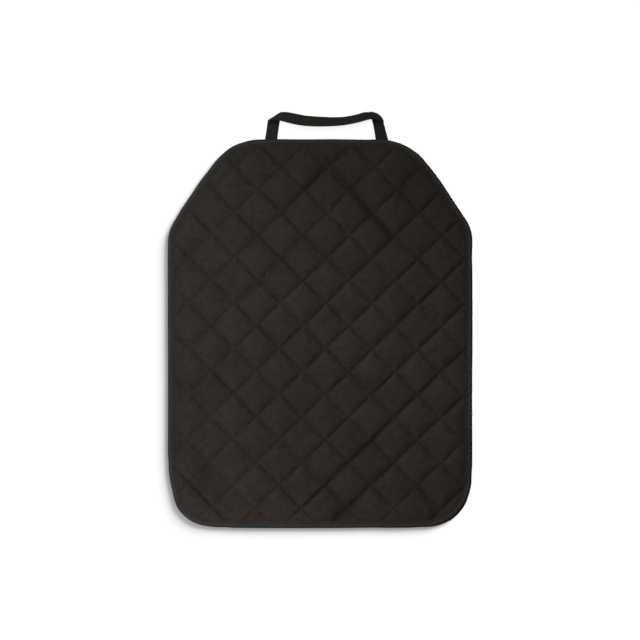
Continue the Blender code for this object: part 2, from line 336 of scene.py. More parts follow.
def makeFabric(name, look):
    # Base colour goes from dark to light with the wear and the weave, a little warmer and cooler with the
    # dye, down with painted shade in the creases and small folds, and up with a painted highlight where
    # that shade is below 0. The weave's height bumps the surface.
    material = bpy.data.materials.new(name)
    material.use_nodes = True
    tree = material.node_tree
    if look.get("uv"):
        vector = addNode(tree, "UVMap", uv_map="clothUv").outputs[0]
    else:
        vector = addNode(tree, "TexCoord").outputs["Object"]
    wear = addGroup(tree, wearGroup, vector, Patch=look["patch"], Mottle=look["mottle"])
    if "fibre" in look:
        cloth = addGroup(tree, fibreGroup, vector, Fibre=look["fibre"])
    else:
        cloth = addGroup(tree, weaveGroup, vector, Warp=look["weave"][0], Weft=look["weave"][1])
    blend = varied(tree, wear["Fade"], look["fade"], 0.5)
    blend = varied(tree, wear["Mottle"], look["mottling"], blend)
    blend = varied(tree, cloth["Height"], look["weaveShade"], blend)
    if "fibre" not in look:
        blend = varied(tree, cloth["Yarn"], look["weaveShade"], blend)
    colour = mixed(tree, blend, look["dark"], look["light"])
    colour = mixed(tree, calculate(tree, "MULTIPLY", wear["Lint"], look["lint"]), colour, lint["colour"])
    redder = np.array(look["tint"])
    dye = addNode(tree, "Mix", {"Factor": wear["Tint"], 4: 1 + redder, 5: 1 - redder}, data_type="VECTOR")
    dyed = addNode(tree, "VectorMath", {0: colour, 1: dye.outputs[1]}, operation="MULTIPLY")
    # painted shade in the creases, from the points' crease attribute
    crease = addNode(tree, "Attribute", attribute_name="crease").outputs["Fac"]
    shade = calculate(tree, "MULTIPLY", crease, look["creaseShade"])
    # painted shade in small folds across a tape, where its crease attribute is
    if "gathers" in look:
        gathers = addGroup(tree, gatherGroup, vector, Pitch=look["gathers"])
        folded = calculate(tree, "MULTIPLY", gathers["Fold"], crease)
        shade = calculate(tree, "MULTIPLY_ADD", folded, look["gatherShadeStrength"], shade)
    shade = calculate(tree, "MINIMUM", shade, 1)
    deep = mixed(tree, shade, dyed.outputs[0], look["deepest"], clamped=False)  # painted shade; below 0, a painted highlight
    shader = tree.nodes["Principled BSDF"]
    tree.links.new(deep, shader.inputs["Base Color"])
    relief = {"Height": cloth["Height"], "Distance": look["bump"], "Strength": look["bumped"]}
    bump = addNode(tree, "Bump", relief)
    tree.links.new(bump.outputs[0], shader.inputs["Normal"])
    shader.inputs["Roughness"].default_value = look["roughness"]
    shader.inputs["Specular IOR Level"].default_value = look["specular"]
    shader.inputs["Sheen Weight"].default_value = look["sheen"]
    shader.inputs["Sheen Roughness"].default_value = 0.5
    return material


faceLook = {
    "dark": (0.0192, 0.0152, 0.0124),
    "light": (0.0270, 0.0214, 0.0176),
    "deepest": (0.002, 0.002, 0.002),  # the colour of the painted shade in the creases
    "weave": (0.00045, 0.00050),
    "weaveShade": 0.5,
    "bump": 0.00012,
    "bumped": 0.7,
    "patch": 0.055,
    "mottle": 0.0055,
    "fade": 0.65,
    "mottling": 1.05,
    "tint": (0.075, 0.0, -0.045),  # how much warmer and cooler its dye is in patches
    "lint": 0.1,
    "creaseShade": 0.19,  # how much painted shade darkens the cloth at the stitching
    "roughness": 0.85,
    "specular": 0.03,
    "sheen": 0.01,
}
backLook = faceLook | {
    "dark": (0.016, 0.0155, 0.015),
    "light": (0.028, 0.027, 0.026),
    "fibre": 0.0008,
    "weaveShade": 1.1,
    "bump": 0.0002,
    "roughness": 0.95,
}
waddingLook = faceLook | {
    "dark": (0.62, 0.62, 0.60),
    "light": (0.78, 0.78, 0.76),
    "fibre": 0.0009,
    "bump": 0.0005,
    "roughness": 1.0,
    "lint": 0.0,
}
tapeLook = faceLook | {
    "dark": (0.0246, 0.0220, 0.0192),
    "light": (0.0352, 0.0316, 0.0276),
    "weave": (0.00070, 0.00035),
    "bump": 0.00014,
    "creaseShade": 0.36,
    "gathers": 0.0040,  # from one small fold's painted shade at the stitching to the next
    # how dark the painted shade in those folds is
    "gatherShadeStrength": 0.5,
    "roughness": 0.75,
    "specular": 0.05,
    "uv": True,
}
strapLook = faceLook | {
    "dark": (0.0108, 0.0105, 0.0085),
    "light": (0.0180, 0.0176, 0.0143),
    "creaseShade": 0.8,
    "mottle": 0.0030,
    "mottling": 1.2,
    "weaveShade": 0.8,
    "weave": (0.0016, 0.0009),
    "bump": 0.00025,
    "roughness": 0.7,
    "specular": 0.05,
    "uv": True,
}
threadLook = faceLook | {
    "dark": (0.008, 0.007, 0.006),
    "light": (0.014, 0.012, 0.010),
    "weave": (0.0003, 0.0003),
    "roughness": 0.6,
    "specular": 0.12,
    "lint": 0.0,
}

outlineShape = {
    "topWidth": 0.276,  # between the sharp corners where the slanted sides would reach the top edge
    "shoulderHeight": 0.452,  # from the bottom edge to the sharp corners below the slanted sides
    "bottomRadius": 0.074,
    "shoulderRadius": 0.065,
    "topRadius": 0.108,
    "arcPoints": 60,
    "edgeStep": 0.004,  # between the points that edgeDistance measures from
    # Per cent of the way round from the bottom right, millimetres outwards: sewn by hand and eye.
    "strays": [
        (0, -1.3), (1.4, -0.2), (2.5, 1.0), (3.7, 0.6), (5, -0.8), (6.3, -0.6), (7.5, 0.5),
        (12.5, 0.3), (18.5, 0.9), (22.5, 0.7), (23.8, 0.2), (26.5, 1.0), (27.5, 0.55), (28.8, 0.8),
        (30.5, 1.4), (32.5, 0.1), (33.7, 1.5), (35, 1.8), (36.3, 1.3), (37.8, -0.4), (41, 0.35),
        (42.5, 0.0), (43.7, 0.1), (45, 0.4), (46.2, 0.1), (47.3, 1.3), (48.8, 2.2), (50.2, 0.2),
        (51.3, -1.0), (52.8, 0.4), (53.8, 0.1), (55.2, 0.2), (56.3, -0.9), (59, 0.3), (66, 0.2),
        (68, 0.0), (73, 0.0), (75, 0.3), (76.2, -0.9), (78.2, -4.2), (80.2, 0.3), (81.2, 0.6),
        (83, -1.3), (84, -1.0), (85, 0.0), (86, 0.1), (88, 0.4), (93, 0.3), (95, -0.1),
        (96, -0.4), (97.3, 0.0), (98.8, -0.3),
    ],
}


def edgeStray(share):
    # How far the edge strays outwards at a share of the way round: smooth steps from each knot to the next.
    knots = outlineShape["strays"] + [(100, outlineShape["strays"][0][1])]
    place, height = (np.array(knots) / (100, 1000)).T
    index = np.clip(np.searchsorted(place, share, side="right") - 1, 0, len(place) - 2)
    step, rise = np.diff(place)[index], np.diff(height)[index]
    return height[index] + rise * smooth((share - place[index]) / step, 0, 1)


def walked(path):
    return np.append(0, np.cumsum(np.linalg.norm(np.diff(path, axis=0), axis=1)))


def outlinePath(inset, spacing):
    # Six corners rounded by arcs and joined by straight lines, walked anticlockwise in even steps.
    # An arc's points are its centre + (radius - inset) * (cos a, sin a), and all are moved by edgeStray along
    # their normals. Returns points, outward normals and the length of the whole path.
    shape = outlineShape
    halfWidth, halfHeight = matSize / 2
    shoulder = shape["shoulderHeight"] - halfHeight
    right = np.array([(halfWidth, -halfHeight), (halfWidth, shoulder), (shape["topWidth"] / 2, halfHeight)])
    sharp = np.vstack([right, right[::-1] * (-1, 1)])
    radii = np.array([shape["bottomRadius"], shape["shoulderRadius"], shape["topRadius"]])
    radii = np.append(radii, radii[::-1])
    before = unit(sharp - np.roll(sharp, 1, axis=0))
    after = np.roll(before, -1, axis=0)
    turn = np.arccos((before * after).sum(1))
    inwards = np.stack([-before[:, 1], before[:, 0]], -1)
    centre = sharp - before * (radii * np.tan(turn / 2))[:, None] + inwards * radii[:, None]
    start = np.arctan2(-inwards[:, 1], -inwards[:, 0])
    angle = start[:, None] + turn[:, None] * np.linspace(0, 1, shape["arcPoints"])
    normal = np.stack([np.cos(angle), np.sin(angle)], -1)
    edge = (centre[:, None] + radii[:, None, None] * normal).reshape(-1, 2)
    edge, normal = (np.vstack([a, a[:1]]) for a in (edge, normal.reshape(-1, 2)))
    path = edge - inset * normal
    length, wayRound = walked(path), walked(edge)
    count = int(round(length[-1] / spacing))
    at = np.arange(count) * length[-1] / count
    points, normals = (np.stack([np.interp(at, length, a[:, k]) for k in (0, 1)], -1) for a in (path, normal))
    points += matCentre + unit(normals) * edgeStray(np.interp(at, length, wayRound / wayRound[-1]))[:, None]
    ahead = np.roll(points, -1, axis=0) - np.roll(points, 1, axis=0)
    return points, unit(np.stack([ahead[:, 1], -ahead[:, 0]], -1)), length[-1]


edgePoints, edgeNormals, _ = outlinePath(0, outlineShape["edgeStep"])


def edgeDistance(points):
    # How far inside the outline each point lies, as the distance to the outline's tangent at the nearest of
    # its points. Also returns the outward normal there.
    nearest = ((edgePoints**2).sum(1) - 2 * points[:, :2] @ edgePoints.T).argmin(1)
    normal = edgeNormals[nearest]
    return ((edgePoints[nearest] - points[:, :2]) * normal).sum(1), normal


def towards(outwards, side, sharpness):  # 1 where the edge faces that side, and 0 a quarter turn away
    return np.maximum(outwards @ side, 0) ** sharpness


quilting = {
    "pitch": 0.0489,
    "angles": (44.2, -45.3),  # degrees from +X, one for each family of lines
    "offsets": (-0.0230, -0.0102),  # from the mat's centre to one line of each family
    "waver": 0.0004,  # how far the lines wave
    "waverWaves": ((0.09, 3), (0.09, 4)),  # the length of the waves and their seed, for each family
    "strays": (  # in millimetres, where each row runs off its place: at its low end and at its high end
        [(-2.1, -2.1), (-1.2, -1.2), (1.6, -2.2), (-0.2, -0.2), (-1.0, -0.3), (-1.4, 0.0), (-0.4, -0.4),
         (-0.4, 0.5), (-0.6, -0.4), (-1.3, -1.0), (-1.0, -0.2), (0.3, -1.0), (-1.1, -1.1)],
        [(3.6, 3.6), (-0.5, -0.5), (0.7, 0.5), (0.6, 1.4), (1.7, 0.4), (1.1, 0.7), (0.8, 0.9),
         (1.6, 0.0), (1.1, -0.1), (0.5, 0.1), (1.8, -1.9), (-0.5, 3.2), (2.0, 2.0)],
    ),
    "pullAndShade": (  # how tight each row is and how much painted shade it has, at its low and its high end
        [(2.4, 2.4), (0.2, 0.2), (1.6, 0.7), (2.4, 1.2), (0.5, 1.4), (0.2, 1.4), (0.4, 0.8),
         (0.4, 1.2), (0.1, 1.1), (0.2, 0.4), (0.1, 0.9), (0.3, 0.1), (0.1, 0.1)],
        [(2.2, 2.2), (0.3, 0.0), (1.0, 0.5), (0.4, 1.3), (0.9, 0.5), (0.7, 1.1), (0.7, 1.2),
         (0.6, 1.3), (0.4, 1.0), (0.3, 0.9), (1.5, 0.6), (0.9, 0.8), (0.8, 0.8)],
    ),
    "rowLength": 9,  # in diamonds
    "crowdedAtLines": 0.5,  # how much closer the mesh is at the lines than in the middle of a diamond
    "reach": 9,  # lines on each side of the middle one
    "cellSeed": 12,
}
quiltAngles = np.radians(quilting["angles"])
quiltAcross = np.stack([-np.sin(quiltAngles), np.cos(quiltAngles)], -1)


def toStitching(s):  # the distance to the nearest line of each family
    return np.abs(s - np.round(s)) * quilting["pitch"]


def alongRows(label, s):
    # A number that each row has at its two ends, for both families: straight between the ends, and between
    # the rows.
    found = []
    for family in (0, 1):
        rows = np.array(quilting[label][family])
        number = np.arange(len(rows)) - len(rows) // 2
        low, high = (np.interp(s[:, family], number, rows[:, end]) for end in (0, 1))
        share = np.clip(s[:, 1 - family] / quilting["rowLength"] + 0.5, 0, 1)
        found.append(low + (high - low) * share)
    return np.stack(found, -1)


def quiltPoints(s):
    # Where the pattern's coordinates s lie on the mat. They count pitches across each family of lines, so the
    # stitching is where either is a whole number.
    distances = np.array(quilting["offsets"]) + quilting["pitch"] * s + alongRows("strays", s) / 1000
    points = distances @ np.linalg.inv(quiltAcross).T + matCentre
    stray = np.stack([ripple(points, *waves) for waves in quilting["waverWaves"]], -1)
    return points + quilting["waver"] * stray


def quiltGrid(steps, inset):
    # A grid whose lines follow the stitching, cut off at inset from the mat's edge. Steps is the number of
    # quads across a diamond. The points of the cut are moved out to lie on it.
    t = np.arange(-quilting["reach"] * steps, quilting["reach"] * steps + 1) / steps
    t = t - quilting["crowdedAtLines"] * np.sin(2 * np.pi * t) / (2 * np.pi)
    s = np.stack(np.meshgrid(t, t, indexing="ij"), -1).reshape(-1, 2)
    points = quiltPoints(s)
    inside = edgeDistance(points)[0] > inset
    size = len(t)
    i, j = (a.ravel() for a in np.meshgrid(np.arange(size - 1), np.arange(size - 1), indexing="ij"))
    quads = np.stack([i * size + j, i * size + j + 1, (i + 1) * size + j + 1, (i + 1) * size + j], -1)
    quads = quads[inside[quads].all(1)]
    used, quads = np.unique(quads, return_inverse=True)
    quads = quads.reshape(-1, 4)
    points, s = points[used], s[used]
    rim = np.unique(openEdges(quads, len(used))[0])
    distance, outwards = edgeDistance(points[rim])
    points[rim] += outwards * (distance - inset)[:, None]
    return s, points, quads


cellHeights = 1 - np.random.default_rng(quilting["cellSeed"]).random((2 * quilting["reach"] + 2,) * 2)
softFolds = {
    # Where the face sags along its stitching: x and y of both ends, the width in millimetres, and the depth.
    "lines": [
        (-125, 97, -60, 157, 5, 0.5), (-60, 157, -20, 202, 5, 0.8), (-22, 200, 6, 228, 7, 1.2),
        (-125, 26, -84, 62, 5, 0.8), (-84, 62, -20, 128, 5, 0.6), (-84, 60, -45, 20, 5, 0.5),
        (-190, -42, -150, 2, 4, 0.4), (-100, -5, -60, -32, 5, 0.4), (-105, 222, -60, 172, 6, 0.5),
        (8, 245, 40, 207, 6, 1.0), (40, 207, 76, 160, 7, 1.2), (80, 155, 106, 124, 7, 1.2),
        (140, 28, 112, -12, 5, 0.5), (112, -12, 58, -50, 6, 0.5), (-20, -10, 2, -40, 6, 0.5),
        (12, -243, 75, -187, 6, 0.5), (75, -187, 145, -112, 5, 0.5), (-22, -212, 32, -275, 5, 0.5),
        (22, -298, 50, -276, 8, 1.0), (50, -276, 92, -230, 5, 0.6), (150, -255, 172, -292, 7, 0.8),
        (-172, -225, -182, -255, 10, 0.9), (-155, -265, -140, -285, 9, 0.5), (-207, -88, -172, -128, 6, 0.5),
        (55, -85, 82, -113, 6, 0.5), (85, -92, 115, -60, 5, 0.4), (-150, 140, -125, 100, 5, 0.4),
        (-190, 20, -160, 0, 5, 0.4), (-20, 128, 10, 100, 5, 0.5), (12, 38, 42, 78, 9, 0.25),
        (75, 90, 112, 128, 6, 0.4), (115, 175, 130, 205, 6, 0.4), (-15, 265, 25, 222, 5, 0.5),
        (12, 232, 40, 252, 5, 0.5), (-212, -60, -213, -160, 7, 0.3),
        (217, -145, 217, -232, 7, 0.7), (-125, 245, -100, 268, 6, 0.4), (-100, 262, -78, 212, 5, 0.2),
        (-48, 152, -24, 192, 5, 0.4), (-95, 214, -68, 217, 8, 0.4), (-104, 148, -74, 130, 7, 0.35),
        (-140, 76, -112, 98, 7, 0.35), (-180, 78, -150, 73, 7, 0.25), (62, 183, 90, 160, 6, 0.35),
        (108, 80, 116, 66, 8, 0.25), (15, 85, 42, 68, 10, 0.25), (140, 30, 158, 52, 4, 0.5),
        (6, -95, 12, -108, 8, 0.4), (60, -150, 66, -172, 7, 0.4), (18, -206, 40, -198, 11, 0.25),
        (8, -245, 45, -207, 5, 0.4), (202, -194, 222, -182, 8, 0.4), (138, -25, 130, -50, 8, 0.25),
        (0, -50, -30, -72, 6, 0.25), (-120, -40, -106, -60, 7, 0.35), (-78, -92, -45, -122, 4, 0.3),
        (-192, -118, -168, -142, 4, 0.3), (-152, -88, -130, -108, 4, 0.25), (-52, -182, -32, -208, 4, 0.3),
    ],
    "sag": 0.3,  # how much lower the diamonds are there
    "shade": 1.8,  # how much painted shade they have, as a seam has
}
foldLines = np.array(softFolds["lines"]) * ([0.001] * 5 + [1])


def foldedness(points):
    # The greatest depth * bell(distance, width) over the soft folds, with the distance to the stretch between
    # a fold's ends.
    start, reach = foldLines[:, :2], foldLines[:, 2:4] - foldLines[:, :2]
    offset = points[:, None, :2] - start
    share = np.clip((offset * reach).sum(-1) / (reach**2).sum(-1), 0, 1)
    away = np.linalg.norm(offset - share[..., None] * reach, axis=-1)
    return (foldLines[:, 5] * bell(away, foldLines[:, 4])).max(1)


def quiltDome(s, points, relief):
    # 0 on the stitching and 1 on the crowns: the product of 4f(1 - f) over both families of lines, with f the
    # share of the way across the diamond, and of the rise from the binding, all to the power of fullness.
    f = s % 1
    cell = np.floor(s).astype(int) + quilting["reach"]
    edge = edgeDistance(points)[0]
    rise = 1 - (1 - np.clip((edge - relief["bindingInset"]) / relief["riseFromBinding"], 0, 1)) ** 2
    folded = foldedness(points)
    wider = 1 + relief["widening"] * folded + relief["unevenness"] * ripple(points, *relief["unevenWaves"])
    dome = ((4 * f * (1 - f)).prod(-1) * rise) ** (relief["fullness"] * wider)
    dome *= 1 - softFolds["sag"] * folded
    return dome * (1 - relief["cellSpread"] * (1 - cellHeights[cell[..., 0], cell[..., 1]]))


def puckers(s, points, relief):
    # Beside each line of stitching, the sine of the length along it with a wandering phase, which grows from
    # 0 on the line and fades out farther off: d/r * exp(1 - d/r) of the distance d.
    total = np.zeros(len(s))
    for family, waves in enumerate(relief["puckerPhases"]):
        away = toStitching(s[:, family]) / relief["puckerReach"]
        turns = s[:, 1 - family] * quilting["pitch"] / relief["puckerLength"] + ripple(points, *waves)
        total += np.sin(2 * np.pi * turns) * away * np.exp(1 - away)
    return relief["puckers"] * total * (1 + ripple(points, *relief["puckerPatches"]))


faceRelief = {
    "valley": 0.0034,  # height of the face under its stitches
    "underBinding": 0.0035,
    "looseRise": 0.32,  # how much of the way to the crown the cloth rises at a row with no pull
    "looseReach": 0.007,
    "looseInset": 0.02,  # how far in from the binding they rise as much as that
    "crown": crownHeight,
    "fullness": 0.29,  # below 1 the diamonds are flat on top and steep at the stitching
    "widening": 1.2,  # how much wider the valleys are at the soft folds
    "unevenness": 0.3,
    "unevenWaves": (0.06, 8),  # a length and a seed, as for each kind of waves below
    "bindingInset": 0.0104,  # where the cloth comes out from under the binding
    "bindingEdge": (-0.002, 0.001),  # from where to where on both sides of that it changes height
    "riseFromBinding": 0.020,
    "cellSpread": 0.28,  # how unlike the diamonds' heights are
    "lumps": 0.00026,
    "lumpWaves": (0.03, 6),
    "valleySpread": 0.00010,
    "valleyWaves": (0.07, 5),
    "puckers": 0.00013,  # small folds that run out from the stitching, and how far apart they are
    "puckerLength": 0.0085,
    "puckerReach": 0.00275,  # how far from the stitching they are highest
    "puckerPhases": ((0.035, 30), (0.035, 31)),
    "puckerPatches": (0.05, 33),
}
backRelief = faceRelief | {
    "valley": 0.0019,  # height of the back cloth's outer side under its stitches
    "flatness": 2.2,  # how early the diamonds of the back go flat, where they rest on the floor
    "riseFromBinding": 0.016,
    "fullness": 0.6,
}


def faceHeight(s, points, relief=faceRelief):
    # The valley's height plus the dome's, with a few soft lumps on it. Rows with little pull stay higher.
    dome = quiltDome(s, points, relief)
    near = bell(toStitching(s), relief["looseReach"])
    loose = np.clip(1 - alongRows("pullAndShade", s), 0, 1)
    out = edgeDistance(points)[0] - relief["bindingInset"]  # from under the binding
    farIn = smooth(out, 0, relief["looseInset"])
    dome += (1 - dome) * (near * loose).sum(-1).clip(0, 1) * relief["looseRise"] * farIn
    covered = 1 - smooth(out, *relief["bindingEdge"])
    valley = relief["valley"] + (relief["underBinding"] - relief["valley"]) * covered
    lumps = relief["valleySpread"] * ripple(points, *relief["valleyWaves"]) + puckers(s, points, relief)
    lumps = lumps * (1 - covered) + relief["lumps"] * ripple(points, *relief["lumpWaves"]) * dome
    return valley + (relief["crown"] - relief["valley"]) * dome + lumps


def backHeight(s, points, relief=backRelief):
    # The diamonds of the back hang down from the stitching and go flat on the floor: the valley's height
    # times 1 - tanh(k d) / tanh(k) of the dome d.
    dome = quiltDome(s, points, relief)
    flattened = np.tanh(relief["flatness"] * dome) / np.tanh(relief["flatness"])
    return relief["valley"] * (1 - np.minimum(flattened, 1))


def creases(s, points, crease, inset):
    # Painted shade at the stitching, at the binding's inner edge and along the soft folds, less a painted
    # highlight beside the binding: a bell of the distance, with a width and a strength that change along
    # the way. Each row has its own pull and shade.
    edge, outwards = edgeDistance(points)
    toBinding = np.maximum(edge - inset, 0)
    lit = towards(outwards, crease["litSide"], sharpness=4) * bell(toBinding, crease["litReach"])
    width = 1 + crease["widthSpread"] * ripple(points, *crease["widthWaves"])
    width = crease["width"] * np.maximum(width, crease["leastWidth"])
    strength = 1 + crease["strengthSpread"] * ripple(points, *crease["strengthWaves"])
    dark = (alongRows("pullAndShade", s) * bell(toStitching(s), width[:, None])).max(1)
    dark = np.maximum(dark, crease["atBinding"] * bell(toBinding, width))
    dark *= np.clip(strength, *crease["strengthLimits"])
    return dark + softFolds["shade"] * foldedness(points) - crease["litCorner"] * lit


def billow(points, quads, s, settings):
    # Cloth simulation of the face: held along the stitching and under the binding, cut a little too large,
    # and pushed up by the wadding. The pull of the stitches puckers it.
    mesh = bpy.data.meshes.new("billowing")
    mesh.from_pydata(points.tolist(), [], quads.tolist())
    cloth = bpy.data.objects.new("billowing", mesh)
    bpy.context.scene.collection.objects.link(cloth)
    toLine = np.abs(s - np.round(s)).min(1)
    held = (toLine < settings["heldAtLine"]) | (edgeDistance(points)[0] < settings["heldInset"])
    group = cloth.vertex_groups.new(name="stitched")
    group.add(np.flatnonzero(held).tolist(), 1, "REPLACE")
    modifier = cloth.modifiers.new("cloth", "CLOTH")
    physics = modifier.settings
    physics.quality = settings["quality"]
    physics.mass = settings["mass"]
    physics.tension_stiffness = physics.compression_stiffness = settings["stiffness"]
    physics.shear_stiffness = settings["shear"]
    physics.bending_stiffness = settings["bending"]
    physics.tension_damping = physics.compression_damping = physics.shear_damping = settings["damping"]
    physics.vertex_group_mass = "stitched"
    physics.shrink_min = physics.shrink_max = -settings["spareCloth"]
    physics.use_pressure = True
    physics.uniform_pressure_force = settings["pressure"]
    physics.effector_weights.gravity = 0
    modifier.collision_settings.use_collision = False
    modifier.collision_settings.use_self_collision = False
    for number in range(1, settings["frames"] + 1):
        bpy.context.scene.frame_set(number)
    settled = cloth.evaluated_get(bpy.context.evaluated_depsgraph_get())
    moved = np.empty(len(points) * 3, np.float32)
    settled.data.vertices.foreach_get("co", moved)
    bpy.context.scene.frame_set(1)
    bpy.data.objects.remove(cloth)
    bpy.data.meshes.remove(mesh)
    shift = moved.reshape(-1, 3).astype(float) - points
    size = np.linalg.norm(shift, axis=1, keepdims=True)
    print(f"  the cloth moved {size.max() * 1000:.1f} mm at most, {size.mean() * 1000:.2f} mm on average")
    return points + shift * np.minimum(1, settings["mostMove"] / np.maximum(size, 1e-9))


print("quilting the face")
faceCloth = {"thickness": 0.0004, "steps": 20, "cutInset": 0.0026}
# Painted shade at the face's stitching and at the binding, and a painted highlight beside the binding
faceCrease = {
    "width": 0.0029,
    "widthSpread": 0.35,
    "widthWaves": (0.045, 9),
    "leastWidth": 0.5,
    "strengthSpread": 0.4,
    "strengthWaves": (0.05, 10),
    "strengthLimits": (0.2, 2),
    "atBinding": 0.3,
    "litSide": (0.7, -0.7),  # painted highlight beside the binding: which side, how much, and how far in
    "litCorner": 1.2,
    "litReach": 0.010,
}
billowing = {
    "frames": 9,
    "quality": 5,
    "mass": 0.15,
    "stiffness": 12,
    "shear": 4,
    "bending": 0.02,
    "damping": 4,
    "spareCloth": 0.008,
    "pressure": 60,
    "heldAtLine": 0.004,
    "heldInset": 0.0102,
    "mostMove": 0.0022,
}
s, flat, quads = quiltGrid(faceCloth["steps"], faceCloth["cutInset"])
faceSurface = np.column_stack([flat, faceHeight(s, flat)])
faceSurface = billow(faceSurface, quads, s, billowing)
underside = faceSurface - surfaceNormals(faceSurface, quads) * faceCloth["thickness"]
points, faces = closedSheet(faceSurface, underside, quads)
crease = np.tile(creases(s, flat, faceCrease, faceRelief["bindingInset"]), 2)
face = makePiece("quiltedFace", points, faces, makeFabric("faceCloth", faceLook), crease=crease)
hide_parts("face_cloth")

print("quilting the back and the wadding")
backCloth = {"thickness": 0.0004, "steps": 14, "cutInset": 0.0026}
s, flat, quads = quiltGrid(backCloth["steps"], backCloth["cutInset"])
lower = np.column_stack([flat, backHeight(s, flat)])
upper = lower + surfaceNormals(lower, quads) * backCloth["thickness"]
points, faces = closedSheet(upper, lower, quads)
back = makePiece("quiltedBack", points, faces, makeFabric("backCloth", backLook))
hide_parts("backing_cloth")

filling = {
    "steps": 10,
    "cutInset": 0.0032,
    "gap": 0.00016,  # between it and the back cloth
    "seam": 0.0001,  # its least thickness
    "crown": 0.0060,
    "narrowing": 2.0,
    "bindingInset": 0.0175,
}
s, flat, quads = quiltGrid(filling["steps"], filling["cutInset"])
later = {"bindingInset": filling["bindingInset"]}
low = backHeight(s, flat, backRelief | later) + backCloth["thickness"] + filling["gap"]
seam = low.max() + filling["seam"]
plump = quiltDome(s, flat, faceRelief | later) ** filling["narrowing"]
high = seam + (filling["crown"] - seam) * plump  # it stays well under the face
points, faces = closedSheet(np.column_stack([flat, high]), np.column_stack([flat, low]), quads)
wadding = makePiece("waddingFill", points, faces, makeFabric("whiteWadding", waddingLook))
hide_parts("wadding")

print("folding the binding")
binding = {
    "spacing": 0.0025,
    "thickness": 0.0005,
    "points": 31,
    # Millimetres in from the mat's edge, and up, from the inner edge on the face round to the back's.
    "section": [
        (9.9, 4.46), (9.3, 4.46), (8.5, 4.28), (7.6, 4.18), (6.7, 4.28), (5.1, 4.80), (3.2, 5.20),
        (1.5, 4.82), (0.4, 4.05), (0.0, 3.20), (0.5, 2.20), (1.9, 1.35), (3.8, 1.04), (5.6, 1.04),
        (7.2, 1.20), (8.3, 1.32), (9.1, 1.30), (9.8, 1.24),
    ],
    "creaseInset": 0.0074,  # the painted shade along its stitching
    "creaseWidth": 0.0023,
    "rimWidth": 0.0026,  # of the painted shade along the edge
    "darkSide": (0.9, -0.44),  # faces away from the light, and how much deeper its painted shade is there
    "sideDark": 0.75,
    "darkCorner": (0.7, -0.7),  # where the painted shade is on the rim only, and how much wider it is there
    "cornerWidening": 0.6,
    "widerShadeAt": -0.19,  # y on the right where the rim's painted shade is wider, and that stretch's half length
    "widerShadeLength": 0.05,
    "waver": 0.00018,  # how far its inner edges stray, and the length and the seed of the waves
    "waverWaves": (0.03, 21),
    "waverFrom": (0.004, 0.009),  # from none to all of it, inwards
    "gathers": 0.00015,
    "gatherWaves": (0.007, 22),
    "gatheredTo": 0.0084,  # how far in from the edge the gathers go
    "backGathers": 0.3,  # how much of them the back has
    "middle": 0.0031,  # the height between the face and the back
}
path, outwards, around = outlinePath(0, binding["spacing"])
outer = throughPoints(np.array(binding["section"]) / 1000, np.linspace(0, 1, binding["points"]))
slope = unit(np.gradient(outer, axis=0))
inner = outer + binding["thickness"] * np.stack([-slope[:, 1], slope[:, 0]], -1)
section = np.vstack([outer, inner[::-1]])
along = np.arange(len(path)) * around / len(path)
turned = along * 2 * np.pi / around
ringPlace = np.stack([np.cos(turned), np.sin(turned)], -1) * around / (2 * np.pi)
inwards, height = section.T
inside = smooth(inwards, *binding["waverFrom"])
crest = np.sin(np.pi * np.clip(inwards / binding["gatheredTo"], 0, 1))
crest *= np.where(height > binding["middle"], 1, binding["backGathers"])
shaded = towards(outwards, binding["darkSide"], sharpness=2)[:, None]
corner = towards(outwards, binding["darkCorner"], sharpness=4)[:, None]
widerRimShade = bell(path[:, 1:] - binding["widerShadeAt"], binding["widerShadeLength"]) * shaded
# Painted shade along the stitching and the rim, deeper away from the light, wider at the corner
alongSeam = bell(inwards - binding["creaseInset"], binding["creaseWidth"]) * (1 - corner)
rimWidth = binding["rimWidth"] * (1 + binding["cornerWidening"] * corner + widerRimShade)
alongRim = bell(inwards, rimWidth) * (1 + corner)
crease = np.maximum(alongSeam, alongRim) * (1 + binding["sideDark"] * shaded)
strayed = inwards + binding["waver"] * ripple(ringPlace, *binding["waverWaves"])[:, None] * inside
lifted = height + binding["gathers"] * ripple(ringPlace, *binding["gatherWaves"])[:, None] * crest
points = np.dstack([path[:, None] - outwards[:, None] * strayed[..., None], lifted])
girth = walked(np.vstack([section, section[:1]]))
faces = tubeFaces(len(path), len(section), True)
uv = tubeUv(np.append(along, around), girth, True)
tapeCloth = makeFabric("bindingTape", tapeLook)
tape = makePiece("foldedBinding", points, faces, tapeCloth, uv, crease)
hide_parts("edge_binding")

print("folding the strap")
strap = {
    "width": 0.0183,
    "thickness": 0.0010,
    "across": 14,  # points across its width
    "stations": (26, 130, 26),  # rulings along the left leg, the crossbar and the right leg
    "foldStations": (12, 20),
    "leftFold": (0.0007, 0.0007),  # a pressed crease: half its height and how far it reaches out
    "rightFold": (0.0024, 0.0007),
    "shadeHeight": (0.3002, 0.3006),  # y of the painted shadow where the crossbar lies over the left leg and the right
    "shadeWidth": 0.0040,
    "shadeBelow": 0.0012,  # only what lies lower than this has it
    "tuckHeight": 0.2670,  # y of the painted shade where the legs go under the mat, and how far it reaches
    "tuckWidth": 0.0070,
    "tuckDark": 0.35,
    # painted shade along both edges of the strap: how wide and how dark
    "edgeShade": 0.0010,
    "edgeShadeStrength": 0.4,
    "edgeThickness": 0.00016,
    "squareness": 12,  # of its section's edges
    "bulge": 0.0046,  # how much farther the soft right fold reaches in the middle of its width
}
